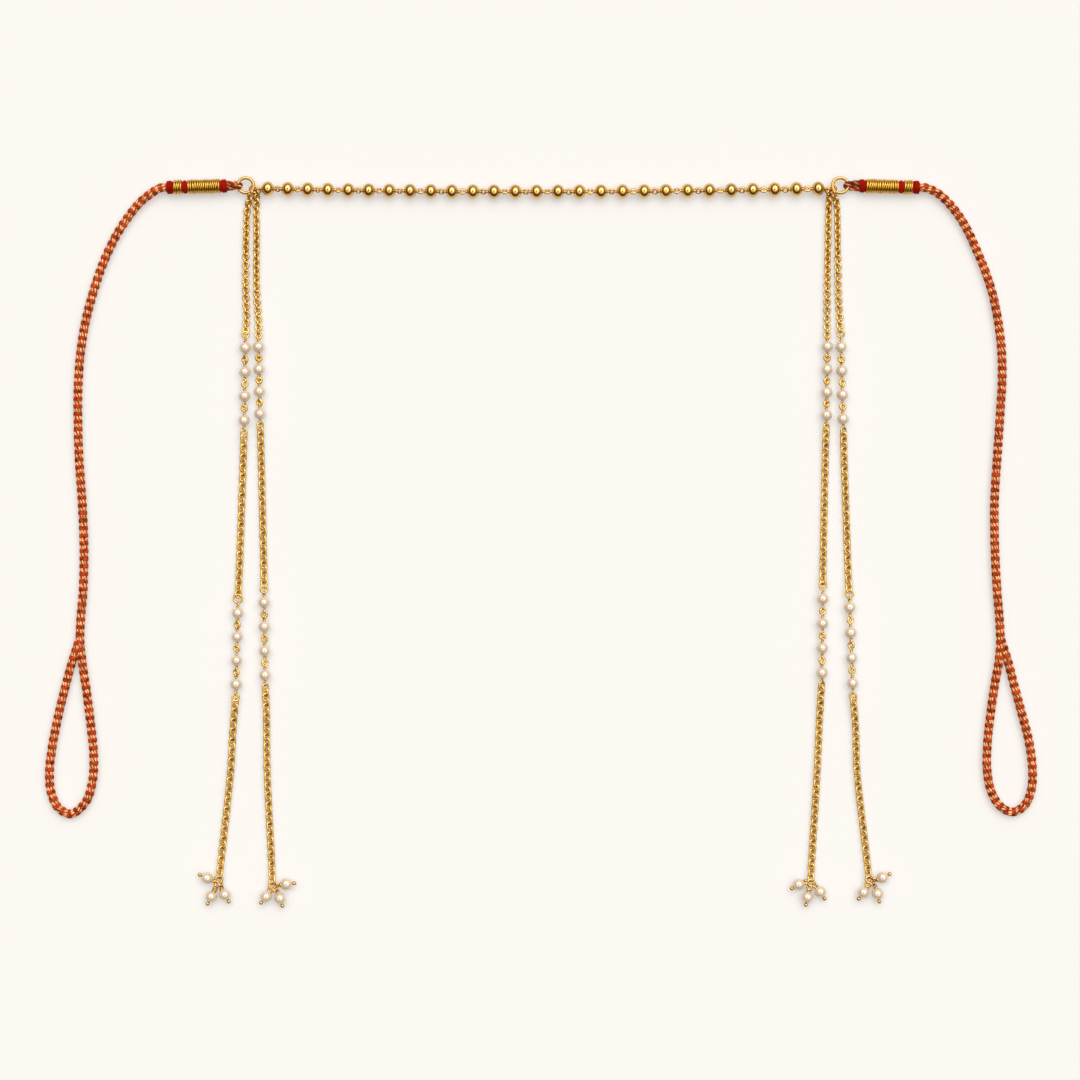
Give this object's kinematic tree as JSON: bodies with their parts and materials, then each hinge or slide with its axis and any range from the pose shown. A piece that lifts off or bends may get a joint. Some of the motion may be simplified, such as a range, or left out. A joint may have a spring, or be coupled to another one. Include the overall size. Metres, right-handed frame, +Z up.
{
  "type": "pearl forehead band",
  "caption": "Forehead band of linked gold balls with pearl-set chains hanging from both ends and two braided tie cords bound with thread and gold wire.",
  "frame": {"origin": "on the surface that the band lies on, below the middle of the box round the gold, pearls and whippings without the two tie cords", "axes": "+X along the string of gold balls, to the right seen from above; +Y from the drop pearls towards the string of balls; +Z up from the surface"},
  "size_m": [0.3567, 0.2624, 0.0055],
  "materials": {
    "gold": "polished",
    "pearl": "lustrous",
    "thread": "matte",
    "wound_wire": "satin",
    "braid": "matte"
  },
  "bodies": {
    "root": {"band_left": "gold", "band_right": "gold", "cord_eye_left": "braid", "cord_eye_right": "braid", "end_ring_left": "gold", "end_ring_right": "gold", "joining_ring_left": "gold", "joining_ring_right": "gold", "left_inner_chain_lower": "gold", "left_inner_chain_middle": "gold", "left_inner_chain_upper": "gold", "left_inner_drop_pearls": "pearl", "left_inner_hook_link": "gold", "left_inner_pearls_lower": "pearl", "left_inner_pearls_upper": "pearl", "left_outer_chain_lower": "gold", "left_outer_chain_middle": "gold", "left_outer_chain_upper": "gold", "left_outer_drop_pearls": "pearl", "left_outer_hook_link": "gold", "left_outer_pearls_lower": "pearl", "left_outer_pearls_upper": "pearl", "right_inner_chain_lower": "gold", "right_inner_chain_middle": "gold", "right_inner_chain_upper": "gold", "right_inner_drop_pearls": "pearl", "right_inner_hook_link": "gold", "right_inner_pearls_lower": "pearl", "right_inner_pearls_upper": "pearl", "right_outer_chain_lower": "gold", "right_outer_chain_middle": "gold", "right_outer_chain_upper": "gold", "right_outer_drop_pearls": "pearl", "right_outer_hook_link": "gold", "right_outer_pearls_lower": "pearl", "right_outer_pearls_upper": "pearl", "thread_whipping_left": "thread", "thread_whipping_right": "thread", "tie_cord_left": "braid", "tie_cord_right": "braid", "wire_winding_long_left": "wound_wire", "wire_winding_long_right": "wound_wire", "wire_winding_short_left": "wound_wire", "wire_winding_short_right": "wound_wire"}
  },
  "joints": []
}
